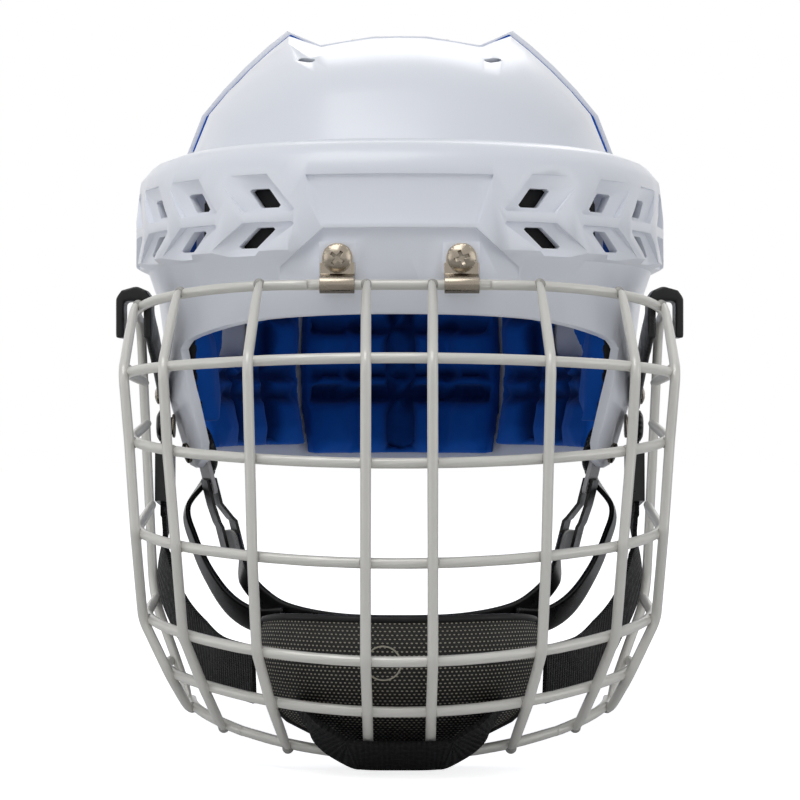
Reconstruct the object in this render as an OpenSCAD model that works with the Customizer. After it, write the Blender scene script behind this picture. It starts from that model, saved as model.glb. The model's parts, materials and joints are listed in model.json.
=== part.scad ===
// Hockey helmet with a full wire face cage.
// +Z is up, the face looks along -Y, and the origin is the centre of the wearer's head at ear level.

/* [Shell] */
// Half width of the side band at its widest
band_half_w = 104.5; // [100:0.5:110]
// How far the brow stands in front of the origin
brow_y = 131; // [126:0.5:136]
// How far the back of the rear shell stands behind the origin
nape_y = 135; // [130:0.5:142]
// Height of the crown of the front shell
crown_z = 142; // [136:0.5:148]
// Wall of both shells
wall = 2.8; // [2.2:0.1:3.4]
// Height of the side band's lower lip
lip_z = 52; // [50:0.5:54]
// Height of the ledge above the side band
ledge_z = 92.5; // [90:0.5:96]
// Lower edge of the brow
brim_z = 30.5; // [28:0.5:33]
// Gap between the front shell's crown and the rear shell that laps over it
lap_gap = 1.9; // [1.2:0.1:2.4]
// Height of the two crests on the crown
crest_h = 8.5; // [4:0.5:10]

/* [Vents] */
// Distance from one chevron vent to the next along the band
vent_pitch = 32.3; // [30:0.1:33]
// Depth of the chevron pockets in the band
pocket_depth = 3; // [1.5:0.5:3.5]

/* [Size adjustment] */
// How far the rear shell slides back
size_travel = 14; // [6:1:18]
// Shank diameter of the size screws
size_screw_d = 4; // [3:0.5:5]

/* [Cage] */
// Diameter of the cage's wires
wire_d = 3.5; // [3:0.1:4]
// How deep two crossing wires are welded into each other
weld = 0.6; // [0.4:0.1:1]
// Distance of the cage's front from the origin
cage_y = 178; // [172:0.5:184]
// How much narrower the cage's bars are than the side band, on each side
cage_inset = 9; // [5.5:0.5:11.5]
// Height of the straight top bar, which is the cage's hinge line
hinge_z = 39.5; // [38:0.5:42]
// Distance of the top bar from the origin
hinge_y = 136.5; // [135.5:0.5:139]

/* [Clips] */
// Distance of each top clip from the middle
clip_x = 21.4; // [18:0.2:26]
// Width of a top clip
clip_w = 12; // [10:0.2:14]
// Thickness of the top clip's steel
clip_t = 1.2; // [1:0.1:1.5]
// Diameter of the clip screws' shanks
clip_screw_d = 4; // [3:0.5:5]

/* [Liner] */
// Thickness of the foam pads
pad_t = 13; // [8:0.5:16]
// Clearance between foam and shell
pad_gap = 0.4; // [0.3:0.1:1]

/* [Chin cup] */
// Width of the chin cup
cup_w = 98; // [88:1:104]
// Height of the chin cup
cup_h = 45; // [36:1:50]
// Wall of the chin cup
cup_wall = 2.5; // [2:0.1:3.5]
// Width of the webbing
web_w = 20; // [16:1:24]
// Thickness of the webbing
web_t = 1.6; // [1.2:0.1:2]

/* [Hidden] */
$fn = 48;
shell_white = "#eef0f5";

// Plan outlines are superellipses of this power, a little squarer than an ellipse
plan_power = 2.3;
// Grid lines over the crown, from side to side and from front to back; 0.51 is the crest's line
crest_p = 0.51;
half_p = [0.12, 0.25, 0.36, 0.43, crest_p, 0.6, 0.7, 0.8, 0.9, 1];
grid_p = concat([for (i = [9:-1:0]) -half_p[i]], [0], half_p);
grid_q = [-1, -0.92, -0.8, -0.65, -0.45, -0.25, -0.05, 0.15, 0.35, 0.55, 0.75, 0.9, 1];
crown_slope = 2.6;
crown_round = 1.6;
foot_half_w = band_half_w - 20.5;
foot_y = brow_y - 18;

// Each row of a form: height, half width, reach to the front and to the back, and the share of an inset that
// is taken downwards
front_rows = [
    [ledge_z, foot_half_w, foot_y, foot_y, 0],
    [ledge_z - 1.2, band_half_w - 12, brow_y - 10, foot_y + 9, 1],
    [ledge_z - 3.5, band_half_w - 6, brow_y - 5, foot_y + 13, 0.8],
    [ledge_z - 9, band_half_w - 1.5, brow_y - 0.5, foot_y + 16, 0.3],
    [70, band_half_w, brow_y + 1.6, foot_y + 18, 0],
    [lip_z, band_half_w, brow_y + 2.4, foot_y + 18, 0],
    [lip_z - 2.5, band_half_w - 5, brow_y + 1, foot_y + 15, 0],
    [38, band_half_w - 9, brow_y, foot_y + 13, 0],
    [brim_z - 8, band_half_w - 11, brow_y - 6, foot_y + 12, 0],
    [0, band_half_w - 12.5, brow_y - 20, foot_y + 10, 0],
    [-34, band_half_w - 22, brow_y - 38, foot_y, 0]];
front_inner_rows = [
    [ledge_z, foot_half_w, foot_y, foot_y, 0],
    [ledge_z - 4, band_half_w - 7, brow_y - 4, foot_y + 12, 0.8],
    [ledge_z - 10, band_half_w - 3.2, brow_y - 1.5, foot_y + 14, 0],
    [lip_z + 2, band_half_w - 3.2, brow_y, foot_y + 14, 0],
    [lip_z - 5, band_half_w - 8.5, brow_y, foot_y + 13, 0],
    [brim_z - 8, band_half_w - 11, brow_y - 6, foot_y + 12, 0],
    [0, band_half_w - 12.5, brow_y - 20, foot_y + 10, 0],
    [-35, band_half_w - 22, brow_y - 38, foot_y, 0]];
// Inner face of the side band, and the rear shell's tongue that slides inside it
band_in_w = band_half_w - 3.2 - wall;
tongue_gap = 1.4;
tongue_half_w = band_in_w - tongue_gap - lap_gap - wall;
rear_rows = [
    [ledge_z, foot_half_w, foot_y, nape_y - 18, 0],
    [ledge_z - 8, tongue_half_w - 4, brow_y - 8, nape_y - 9, 0],
    [ledge_z - 14, tongue_half_w - 0.8, brow_y - 6, nape_y - 5, 0],
    [lip_z + 3, tongue_half_w, brow_y - 6, nape_y, 0],
    [38, tongue_half_w - 3, brow_y - 6, nape_y + 1, 0],
    [18, band_half_w - 12.5, brow_y - 12, nape_y, 0],
    [-5, band_half_w - 15, brow_y - 24, nape_y - 5, 0],
    [-34, band_half_w - 24, brow_y - 38, nape_y - 16, 0]];

function clamp(v, lo, hi) = min(max(v, lo), hi);
function power_sum(x, y) = pow(pow(abs(x), plan_power) + pow(abs(y), plan_power), 1 / plan_power);

// A point of the unit disc, moved so that the disc's rim becomes the superellipse
function squared(d) =
    let (r = norm(d), s = power_sum(d[0], d[1])) s < 0.0001 ? d : d * r / s;

// Square grid mapped to the unit disc, so that its lines run over the crown like the crests
function disc_point(p, q) = [p * sqrt(1 - q * q / 2), q * sqrt(1 - p * p / 2)];

function crest(x, foot, fade) =
    let (at = abs(x) / foot / crest_p, far = at < 1 ? (1 - at) / 0.26 : (at - 1) / 0.62)
    fade * (crest_h * pow(max(0, 1 - far), at < 1 ? 1 : 1.25) - 1.6 * max(0, 1 - abs(at - 0.62) / 0.36));

// Height over the crown of a form grown by grow
function crown_at(d, foot, top) =
    let (s = min(1, power_sum(d[0], d[1])),
        fade = clamp((0.75 + d[1]) / 0.55, 0, 1) * clamp((0.95 - d[1]) / 0.4, 0, 1))
    ledge_z + (top - ledge_z) * pow(1 - pow(s, crown_slope), 1 / crown_round)
        + crest(d[0] * foot, foot, fade * (1 - pow(s, 6)));

function crown_point(p, q, rows, grow) =
    let (d = squared(disc_point(p, q)), w = rows[0][1] + grow,
        b = (d[1] < 0 ? rows[0][2] : rows[0][3]) + grow)
    [d[0] * w, d[1] * b, crown_at(d, w, crown_z + grow)];

function rim_point(pq, row, grow) =
    let (d = squared(disc_point(pq[0], pq[1])))
    [d[0] * (row[1] + grow), d[1] * ((d[1] < 0 ? row[2] : row[3]) + grow), row[0] + grow * row[4]];

np = len(grid_p);
nq = len(grid_q);
// The grid's rim, once round: front, right side, back, left side
rim = concat([for (i = [0:np - 2]) [i, 0]], [for (j = [0:nq - 2]) [np - 1, j]],
             [for (i = [np - 1:-1:1]) [i, nq - 1]], [for (j = [nq - 1:-1:1]) [0, j]]);
nr = len(rim);

// A closed solid with the crown of the helmet, the walls that rows give, and a flat bottom
module form(rows, grow) {
    crown = [for (j = [0:nq - 1]) for (i = [0:np - 1]) crown_point(grid_p[i], grid_q[j], rows, grow)];
    walls = [for (k = [1:len(rows) - 1]) for (m = rim) rim_point([grid_p[m[0]], grid_q[m[1]]], rows[k],
        grow)];
    base = np * nq;
    levels = len(rows);
    // index of rim point m on level k; level 0 is the crown's own rim
    function at(k, m) = k == 0 ? rim[m % nr][1] * np + rim[m % nr][0] : base + (k - 1) * nr + m % nr;
    faces = concat(
        [for (j = [0:nq - 2]) for (i = [0:np - 2]) let (a = j * np + i)
            each [[a, a + np, a + 1], [a + 1, a + np, a + np + 1]]],
        [for (k = [0:levels - 2]) for (m = [0:nr - 1])
            each [[at(k, m), at(k, m + 1), at(k + 1, m)], [at(k, m + 1), at(k + 1, m + 1),
                at(k + 1, m)]]],
        [for (m = [1:nr - 2]) [at(levels - 1, 0), at(levels - 1, m), at(levels - 1, m + 1)]]);
    polyhedron(concat(crown, walls), faces, convexity = 6);
}

module side_cut(points) { rotate([90, 0, 90]) linear_extrude(400, center = true) polygon(points); }

// Side view of the front shell: brow, ear strip, ear opening and rear edge
seam_y = 28;
front_side = [
    [-150, 155], [-150, brim_z], [-brow_y + 2, brim_z], [-112, brim_z - 2], [-90, brim_z - 6], [-75,
        brim_z - 8.5],
    [-68, 19], [-67, 0], [-61, -16], [-54, -23], [-44, -26], [-34, -25], [-28, -20], [-25, -6], [-20, 10],
    [-10, 20], [4, 25], [18, 26], [seam_y, 26], [seam_y, ledge_z - 6], [seam_y + 4, ledge_z + 5],
        [seam_y + 4, 155]];

// The outward direction and the place of a point on the band's outer face, at angle t round the helmet
function skin(t, row, grow) = rim_like([cos(t), sin(t)], row, grow);
function rim_like(c, row, grow) = let (d = squared(c))
    [d[0] * (row[1] + grow), d[1] * ((d[1] < 0 ? row[2] : row[3]) + grow), row[0]];
function lerp(a, b, s) = a + (b - a) * s;
// The rows of a form, read at any height
function row_at(rows, z) =
    let (k = max([for (i = [0:len(rows) - 2]) rows[i][0] >= z ? i : 0]))
    lerp(rows[k], rows[k + 1], clamp((rows[k][0] - z) / (rows[k][0] - rows[k + 1][0]), 0, 1));

band_row = row_at(front_rows, 64);
// Columns of chevron vents on one side, as distances along the band from the brow's middle
first_vent = 49.4;
vent_columns = 4;
vent_mid_z = 63.8;
// Angle round the helmet at which the band's face lies x out from the middle
function band_arc(t) = let (a = skin(t, band_row, 0), b = skin(t + 1, band_row, 0)) norm(b - a);
arc_to = [for (t = 270, s = 0; t < 380; s = s + band_arc(t), t = t + 1) s];
function angle_at(s) = 270 + max([for (i = [0:len(arc_to) - 1]) arc_to[i] <= s ? i : 0]);
function heading(t) = let (a = skin(t - 1, band_row, 0), b = skin(t + 1, band_row, 0)) atan2(b[1] - a[1],
    b[0] - a[0]);

// Draws its children in the band's tangent plane: X runs back along the band, Y up, Z out of it
module on_band(s, side) {
    t = angle_at(s);
    mirror([side < 0 ? 1 : 0, 0, 0]) translate(skin(t, band_row, 0) + [0, 0, vent_mid_z - 64])
        rotate([0, 0, heading(t)]) rotate([90, 0, 0]) children();
}

// A slanted slot with rounded corners; its two ends are level and lean apart
module slot(x_low, x_high, z_low, z_high, width, depth) {
    hull() for (e = [[x_low, z_low], [x_high, z_high]]) for (dx = [0, width])
        translate([e[0] + dx, e[1], -depth]) cylinder(h = depth * 2, r = 0.8, $fn = 4);
}

// Each chevron points to the brow: its lower half leans back further than its upper half
pocket_w = 20;
module chevron_pocket() {
    slot(-10.8, 0, 2.6, 14.4, pocket_w, 9);
    slot(-10.8, 4.4, -2.6, -12.6, pocket_w, 9);
}
module chevron_holes() {
    slot(-4.2, -0.2, 4.2, 9.4, 6.8, 14);
    slot(-2, 4.6, -4.2, -9.8, 6.4, 14);
}

// Cuts a shallow panel, as deep as the form inside it lets it be
module brow_cut(points) {
    difference() {
        translate([0, 20 - brow_y, 0]) rotate([90, 0, 0]) linear_extrude(40) polygon(points);
        children();
    }
}
// Plane of the clips' seats
panel_y = brow_y - 0.5;
panel_lip_z = brim_z + 16;
module brow_panels() {
    brow_cut([[-26.5, 59.5], [26.5, 59.5], [41.5, panel_lip_z], [41.5, 20], [-41.5, 20], [-41.5,
        panel_lip_z]])
        translate([0, 0, 10]) linear_extrude(70)
            polygon([for (t = [0:5:355]) let (p = skin(t, [0, band_half_w - 5, brow_y, brow_y, 0],
                0)) [p[0], p[1]]]);
    brow_cut([[-27.4, 61.2], [27.4, 61.2], [32.6, 78.2], [-32.6, 78.2]]) form(front_rows, -1);
}
clip_screw_z = hinge_z + 9.3;
clip_seat_y = brow_y - wall - 3;
nut_r = 3.2;
side_screw = [0, 21, 67];
top_screw = [18, 18];
// Top of a crown, x out from the middle and y behind the origin
function crown_z_at(x, y, rows, grow) =
    let (w = rows[0][1] + grow) crown_at([x / w, y / (rows[0][3] + grow)], w, crown_z + grow);
// The crown screws' axes, from where their heads sit on the rear shell
module at_top_screw(side) {
    translate([side * top_screw[0], top_screw[1], crown_z_at(top_screw[0], top_screw[1], rear_rows,
        lap_gap + wall) + 0.7])
        rotate([0, side * 4, 0]) children();
}

module front_shell() {
    color(shell_white) difference() {
        union() {
            difference() {
                intersection() {
                    difference() {
                        form(front_rows, 0);
                        form(front_inner_rows, -wall);
                    }
                    side_cut(front_side);
                }
                brow_panels();
            }
            for (side = [-1, 1]) translate([side * clip_x - clip_w / 2 - 0.4, -panel_y, hinge_z + 4.2])
                cube([clip_w + 0.8, 3.2, 11]);
        }
        for (side = [-1, 1]) {
            for (k = [0:vent_columns - 1]) on_band(first_vent + k * vent_pitch, side) {
                chevron_holes();
                intersection() {
                    chevron_pocket();
                    translate([-40, -40, -pocket_depth]) cube([80, 80, 30]);
                }
            }
            translate([side * clip_x, -brow_y - 10, clip_screw_z]) rotate([-90, 0, 0]) cylinder(h = 30,
                r = nut_r + 0.2, $fn = 16);
            translate([side * (band_half_w - 20), side_screw[1], side_screw[2]]) rotate([0, side * 90, 0])
                cylinder(h = 40, r = size_screw_d / 2 + 0.15, $fn = 16);
            at_top_screw(side) cylinder(h = 40, r = size_screw_d / 2 + 0.15, center = true, $fn = 16);
            // Small air slot in front of each crest
            translate([side * 34.5, -74, crown_z - 16.4]) rotate([45, 0, 0]) rotate([0, 0, side * 40])
                hull() for (dx = [-2.4, 2.4]) translate([dx, 0, 0]) cylinder(h = 30, r = 1.5,
                    center = true, $fn = 8);
            at_ear(side) translate([0, ear_rivet_y, -6]) cylinder(h = 14, r = 2.2, $fn = 16);
            side_cover(side) translate(arm_end - [12, 0, 0]) rotate([0, 90, 0]) cylinder(h = 20, r = 1.7,
                $fn = 12);
        }
    }
}

rear_side = [
    [160, 155], [-2, 155], [-2, 125], [0, ledge_z + 3.5], [seam_y + 5, ledge_z + 3.5], [seam_y + 5, 82],
        [6, 80],
    [3, 76], [3, 60], [6, 57], [seam_y + 3, 57], [seam_y + 3, 24], [36, 6], [42, -12], [54, -22], [75,
        -27], [160, -27]];

module rear_shell() {
    color(shell_white) difference() {
        intersection() {
            difference() {
                form(rear_rows, lap_gap + wall);
                form(rear_rows, lap_gap);
            }
            side_cut(rear_side);
        }
        for (side = [-1, 1]) {
            translate([side * 60, side_screw[1], side_screw[2]]) rotate([0, side * 90, 0])
                hull() for (dy = [0, -size_travel]) translate([0, dy, 0]) cylinder(h = 60,
                    r = size_screw_d / 2 + 0.4, $fn = 12);
            hull() for (dy = [0, -size_travel]) translate([0, dy, 0]) at_top_screw(side)
                cylinder(h = 60, r = size_screw_d / 2 + 0.4, center = true, $fn = 12);
            for (k = [0, 1]) translate([side * 50, 56 + 17 * k, 25 - k]) rotate([0, side * 90, 0])
                hull() for (dz = [-5, 5]) translate([dz, dz * -0.5, 0]) cylinder(h = 80, r = 4.2,
                    $fn = 16);
            for (k = [0:2]) translate([side * (16 + 12 * k), 90, 66 + k * 3])
                rotate([-90, 0, side * -12 * k])
                hull() for (dz = [-8, 8]) translate([dz * 0.3 * side, dz, 0]) cylinder(h = 80, r = 2.6,
                    $fn = 12);
        }
    }
}

foam_blue = "#1d4fa3";
// A pad that follows a form between the angles t0 and t1 at the given heights, quilted in blocks
module pad(rows, grow, t0, t1, nt, heights, blocks) {
    nz = len(heights) - 1;
    function dip(s, n) = n == 0 ? 1 : 1 - 0.45 * pow(abs(2 * (s * n - floor(s * n - 0.0001 * s)) - 1), 4);
    outer = [for (j = [0:nz]) for (i = [0:nt])
        let (z = heights[j]) skin(lerp(t0, t1, i / nt), row_at(rows, z), grow)];
    inner = [for (j = [0:nz]) for (i = [0:nt])
        let (z = heights[j], t = pad_t * min(dip(i / nt, blocks[0]), dip(j / nz, blocks[1])))
        skin(lerp(t0, t1, i / nt), row_at(rows, z), grow - t)];
    closed_sheet(outer, inner, nt + 1, nz + 1);
}

// A closed solid between two grids of points, w points a row and h rows
module closed_sheet(outer, inner, w, h) {
    n = w * h;
    edge = concat([for (i = [0:w - 2]) i], [for (j = [0:h - 2]) j * w + w - 1],
                  [for (i = [w - 1:-1:1]) (h - 1) * w + i], [for (j = [h - 1:-1:1]) j * w]);
    m = len(edge);
    faces = concat(
        [for (j = [0:h - 2]) for (i = [0:w - 2]) let (a = j * w + i) each [[a, a + w, a + 1],
            [a + 1, a + w, a + w + 1]]],
        [for (j = [0:h - 2]) for (i = [0:w - 2]) let (a = n + j * w + i) each [[a, a + 1, a + w],
            [a + 1, a + w + 1, a + w]]],
        [for (k = [0:m - 1]) let (a = edge[k], b = edge[(k + 1) % m]) each [[a, b, a + n],
            [b, b + n, a + n]]]);
    polyhedron(concat(outer, inner), faces, convexity = 4);
}

front_skin = -wall - pad_gap - 0.2;
rear_skin = lap_gap - pad_gap - 0.25;
module forehead_pad() {
    color(foam_blue) difference() {
        pad(front_inner_rows, front_skin, 226, 314, 12, [34, 40, lip_z - 5, lip_z + 2, 66,
            ledge_z - 10.5], [3, 1]);
        for (side = [-1, 1]) translate([side * clip_x, 20 - brow_y, clip_screw_z]) rotate([90, 0, 0])
            cylinder(h = 40, r = 7, $fn = 20);
    }
}
module temple_pad(mid) {
    color(foam_blue) pad(front_inner_rows, front_skin, mid - 9.5, mid + 9.5, 4,
        [-8, 0, 11, brim_z - 8, 35, lip_z - 5, lip_z + 2, 66, ledge_z - 10.5], [1, 2]);
}
module temple_pad_left() { temple_pad(204.5); }
module temple_pad_right() { temple_pad(335.5); }
module rear_pad_centre() {
    color(foam_blue) pad(rear_rows, rear_skin, 61, 119, 16, [-24, -19, -12, -5, 3, 10, 18, 28, 38, 46,
        lip_z + 3, 64, 72], [4, 3]);
}
// The side pads have a window at each vent
module rear_pad(side) {
    color(foam_blue) difference() {
        mirror([side < 0 ? 1 : 0, 0, 0]) pad(rear_rows, rear_skin, 18, 58.5, 10,
            [-20, -12, -5, 3, 10, 18, 28, 38, 46, lip_z + 3], [3, 2]);
        for (k = [0, 1]) translate([side * 50, 56 + 17 * k, 25 - k]) rotate([0, side * 90, 0])
            hull() for (dz = [-5, 5]) translate([dz, dz * -0.5, 0]) cylinder(h = 80, r = 5.4, $fn = 16);
    }
}
module rear_pad_left() { rear_pad(-1); }
module rear_pad_right() { rear_pad(1); }
// The crown pad lies on the crown's own grid lines
module crown_pad() {
    function face(grow) = [for (j = [2:6]) for (i = [4:np - 5]) crown_point(grid_p[i], grid_q[j],
        front_rows, grow)];
    color(foam_blue) closed_sheet(face(front_skin), face(front_skin - pad_t), np - 8, 5);
}

steel = "#b8b2a6";
wire_grey = "#b9b7ae";
loop_r = wire_d / 2 + 0.08;
clip_head_r = 5.3;

// Strip of steel round the top bar, with a plate against the brow
module top_clip(side) {
    color(steel) difference() {
        translate([side * clip_x, 0, 0]) rotate([90, 0, 90]) linear_extrude(clip_w, center = true)
            difference() {
            union() {
                translate([-hinge_y, hinge_z]) circle(loop_r + clip_t);
                polygon([[-panel_y, hinge_z + 3.4], [-panel_y, clip_screw_z + 5.2],
                    [-panel_y - 2 * clip_t, clip_screw_z + 5.2],
                    [-panel_y - 2 * clip_t, hinge_z + 3.9], [-hinge_y - 1, hinge_z + loop_r + 0.4],
                        [-hinge_y + 1.6, hinge_z + 1.6]]);
            }
            translate([-hinge_y, hinge_z]) circle(loop_r);
        }
        translate([side * clip_x, -panel_y - 10, clip_screw_z]) rotate([-90, 0, 0]) cylinder(h = 20,
            r = clip_screw_d / 2 + 0.1);
        // The plate's head is round about the screw
        translate([side * clip_x, -panel_y - 10, clip_screw_z]) rotate([-90, 0, 0]) difference() {
            translate([-10, -20, 0]) cube([20, 21.5, 20]);
            cylinder(h = 20, r = clip_head_r);
            translate([-clip_head_r, 0, 0]) cube([2 * clip_head_r, 3, 20]);
        }
    }
}
module top_clip_left() { top_clip(-1); }
module top_clip_right() { top_clip(1); }

// A domed head on a shank that points along -Z from the head's underside
module pan_screw(d, length) {
    cylinder(h = 1, r = d * 1.22);
    translate([0, 0, 1]) rotate_extrude() intersection() {
        translate([0, -d * 1.6]) circle(d * 2.01);
        square([d * 1.22, 4]);
    }
    translate([0, 0, -length]) cylinder(h = length, r = d / 2);
}
module top_clip_screws() {
    color(steel) for (side = [-1, 1])
        translate([side * clip_x, -panel_y - 2 * clip_t, clip_screw_z]) rotate([90, 0, 0])
            pan_screw(clip_screw_d, 10);
}
// Flanged nut behind the brow: its barrel stands in the shell's hole
module top_clip_nuts() {
    color(steel) for (side = [-1, 1]) translate([side * clip_x, -clip_seat_y + 2.1, clip_screw_z])
        rotate([90, 0, 0]) difference() {
        union() {
            cylinder(h = 1.2, r = 6);
            cylinder(h = 6.2, r = nut_r);
        }
        translate([0, 0, -1]) cylinder(h = 12, r = clip_screw_d / 2 + 0.1);
    }
}
module size_screws() {
    color(steel) for (side = [-1, 1]) {
        translate([side * (band_half_w - 0.4), side_screw[1], side_screw[2]]) rotate([0, side * 90, 0])
            pan_screw(size_screw_d, 14);
        at_top_screw(side) pan_screw(size_screw_d, 10);
    }
}
module size_nuts() {
    color(steel) for (side = [-1, 1]) {
        translate([side * (tongue_half_w - 2.6), side_screw[1], side_screw[2]]) rotate([0, side * 90, 0])
            size_nut();
        at_top_screw(side) translate([0, 0, -2 * wall - lap_gap - 3.3]) size_nut();
    }
}
module size_nut() {
    difference() {
        cylinder(h = 1.5, r = 5);
        translate([0, 0, -1]) cylinder(h = 4, r = size_screw_d / 2 + 0.1);
    }
}

// Wires run along their points, with a round elbow of radius radii[i] at each inner point
function unit(v) = v / norm(v);
function bend_at(p, i) = acos(clamp(unit(p[i] - p[i - 1]) * unit(p[i + 1] - p[i]), -1, 1));
module framed(x, z, at) {
    y = cross(z, x);
    multmatrix([[x[0], y[0], z[0], at[0]], [x[1], y[1], z[1], at[1]], [x[2], y[2], z[2], at[2]], [0, 0,
        0, 1]]) children();
}
// One elbow, as points about 8 degrees apart
function elbow(a, p, b, r) =
    let (u = unit(p - a), v = unit(b - p), turn = acos(clamp(u * v, -1, 1)),
        inward = unit(cross(cross(u, v), u)),
         start = p - u * r * tan(turn / 2), m = max(1, round(turn / 8)))
    [for (k = [0:m]) start + inward * r * (1 - cos(turn * k / m)) + u * r * sin(turn * k / m)];
function bent_path(p, radii) = concat([p[0]],
    [for (i = [1:len(p) - 2]) each elbow(p[i - 1], p[i], p[i + 1], radii[i])], [p[len(p) - 1]]);
wire_sides = 8;
// The rings' corners stand out a little, so that the wire keeps its section's area
ring_r = wire_d / 2 * sqrt(PI / wire_sides / sin(180 / wire_sides) / cos(180 / wire_sides));
module wire(path) {
    m = len(path);
    along = [for (i = [0:m - 1]) unit(path[min(m - 1, i + 1)] - path[max(0, i - 1)])];
    first = unit(cross(along[0], abs(along[0][2]) < 0.9 ? [0, 0, 1] : [0, 1, 0]));
    sides = [for (i = 0, n = first; i < m; i = i + 1,
        n = i < m ? unit(n - along[i] * (n * along[i])) : n) n];
    rings = [for (i = [0:m - 1]) for (k = [0:wire_sides - 1]) let (a = (k + 0.5) * 360 / wire_sides)
        path[i] + ring_r * (sides[i] * cos(a) + cross(along[i], sides[i]) * sin(a))];
    faces = concat(
        [for (i = [0:m - 2]) for (k = [0:wire_sides - 1]) let (a = i * wire_sides + k,
            b = i * wire_sides + (k + 1) % wire_sides)
            each [[a, a + wire_sides, b], [b, a + wire_sides, b + wire_sides]]],
        [for (k = [1:wire_sides - 2]) [0, k, k + 1]],
        [for (k = [1:wire_sides - 2]) let (e = (m - 1) * wire_sides) [e, e + k + 1, e + k]]);
    polyhedron(rings, faces, convexity = 6);
}

// The frame's rear wires stand a little outside the ends of the bars
cage_half_w = band_half_w - cage_inset;
cage_spread = cage_half_w / 95.5;
frame_half_w = cage_half_w + 2;
frame_bend = 66;
frame_rear_y = -61;
frame_drop = 10;
frame_end = [frame_half_w - 22.5, -98, -108];
frame_side = [frame_end, [frame_half_w - 5, frame_rear_y - 1, -74], [frame_half_w, frame_rear_y,
    hinge_z - frame_drop],
    [frame_half_w, -hinge_y, hinge_z]];
function flip(p) = [-p[0], p[1], p[2]];
// The top bar's straight stretch is the cage's hinge pin
module cage_frame() {
    straight = frame_half_w - frame_bend;
    side_path = bent_path(concat(frame_side, [[straight - 2, -hinge_y, hinge_z]]), [0, 22, 9, frame_bend,
        0]);
    ends = [for (i = [0:len(side_path) - 2]) side_path[i]];
    color(wire_grey) {
        wire(ends);
        mirror([1, 0, 0]) wire(ends);
        translate([-straight, -hinge_y, hinge_z]) rotate([0, 90, 0]) cylinder(h = 2 * straight,
            r = wire_d / 2);
    }
}

// Bars of the cage: height and reach at the front, half width, front radius, rise per mm of depth, end
bars = [
    [13.7, cage_y, cage_half_w, 138 * cage_spread, -0.1,
        [frame_half_w - 2.65, frame_rear_y, 6.4]],
    [-20.5, cage_y, cage_half_w - 1, 130 * cage_spread, 0.14,
        [frame_half_w - 3.45, frame_rear_y - 0.3, -8.3]],
    [-53, cage_y, cage_half_w - 4.5, 130 * cage_spread, 0.19,
        [frame_half_w - 5.15, frame_rear_y - 0.6, -38.5]],
    [-85, cage_y - 1, cage_half_w - 6, 104 * cage_spread, 0.22, [frame_half_w - 6.7, -63.5, -73.6]],
    [-103, cage_y - 13, cage_half_w - 12.5, 101 * cage_spread, 0.26,
        [frame_half_w - 13.5, -79.5, -95.3]],
    [-120.5, cage_y - 33, cage_half_w - 20.5, 104 * cage_spread, 0.46,
        [frame_half_w - 22.5, -98.4, -108.1]]];
front_turn = 30;
function corner_r(b) = 2 * b[2] - b[3];
// The front's two straights meet ahead of its arc
function front_tip(b) = let (t = tan(front_turn),
    s = 1 + b[4] * b[4]) -b[1] - b[3] * (sqrt(1 + t * t * s) - 1) / sqrt(s);
function tilted(b, x, y) = [x, y, b[0] + (y + b[1]) * b[4]];
function bar_path(b) =
    let (corner = tilted(b, b[2], front_tip(b) + b[2] * tan(front_turn)), r = corner_r(b) - 1)
    bent_path([flip(b[5]), flip(corner), tilted(b, 0, front_tip(b)), corner, b[5]], [0, r, b[3] - 0.5, r,
        0]);
bar_paths = [for (b = bars) bar_path(b)];
// Where bar k lies x out from the middle, moved out by gap along its normal
function bar_point(k, x, gap) =
    let (path = bar_paths[k], i = [for (i = [0:len(path) - 2]) if (path[i][0] <= x && path[i + 1][0] > x)
        i][0],
         along = path[i + 1] - path[i], out = unit([along[1], -along[0], 0]))
    path[i] + along * (x - path[i][0]) / along[0] + out * gap;
module cage_crossbars() { color(wire_grey) for (path = bar_paths) wire(path); }

// Uprights stand in front of the bars; each row gives one pair's distance from the middle at every bar
upright_x = [
    [11.4, 10.6, 10.7, 10.7, 10.7, 10.3, 10.2],
    [47.7, 48.7, 47.9, 47.1, 45.5, 41.6, 37.8],
    [75.9, 77.1, 75.6, 72.5, 70.5, 64.6, 59.8],
    [93.2, 92.5, 90.3, 87.8, 86.8, 77.2, 72.1]];
function top_bar_point(x, gap) =
    let (cx = frame_half_w - frame_bend, dx = max(0, x - cx),
        y = -hinge_y + frame_bend - sqrt(frame_bend * frame_bend - dx * dx),
         n = [dx, y + hinge_y - frame_bend] / frame_bend)
    [x + n[0] * gap, y + n[1] * gap, hinge_z - (y + hinge_y) * frame_drop / (hinge_y + frame_rear_y)];
stand_off = wire_d - weld;
function upright(xs) =
    let (top = top_bar_point(xs[0], stand_off), p = [for (k = [0:5]) bar_point(k, xs[k + 1], stand_off)])
    concat([top + unit(top - p[0]) * 2.5, top], p, [p[5] + unit(p[5] - p[4]) * 2.5]);
function kept(p) = [for (i = [0:len(p) - 1]) if (i == 0 || i == len(p) - 1 || bend_at(p, i) > 0.6) p[i]];
module cage_verticals() {
    color(wire_grey) for (xs = upright_x) for (side = [-1, 1]) {
        p = kept(upright(xs * cage_spread));
        mirror([side < 0 ? 1 : 0, 0, 0]) wire(bent_path(p, [for (i = p) 9]));
    }
}

module side_cover(side) { mirror([side < 0 ? 1 : 0, 0, 0]) children(); }
hook_y = -78;
hook_x = frame_half_w;
hook_z = hinge_z - (hook_y + hinge_y) * frame_drop / (hinge_y + frame_rear_y);
hook_w = 12;
hook_gap = wire_d / 2 + 1.8;
black = "#1c1c1e";
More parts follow.
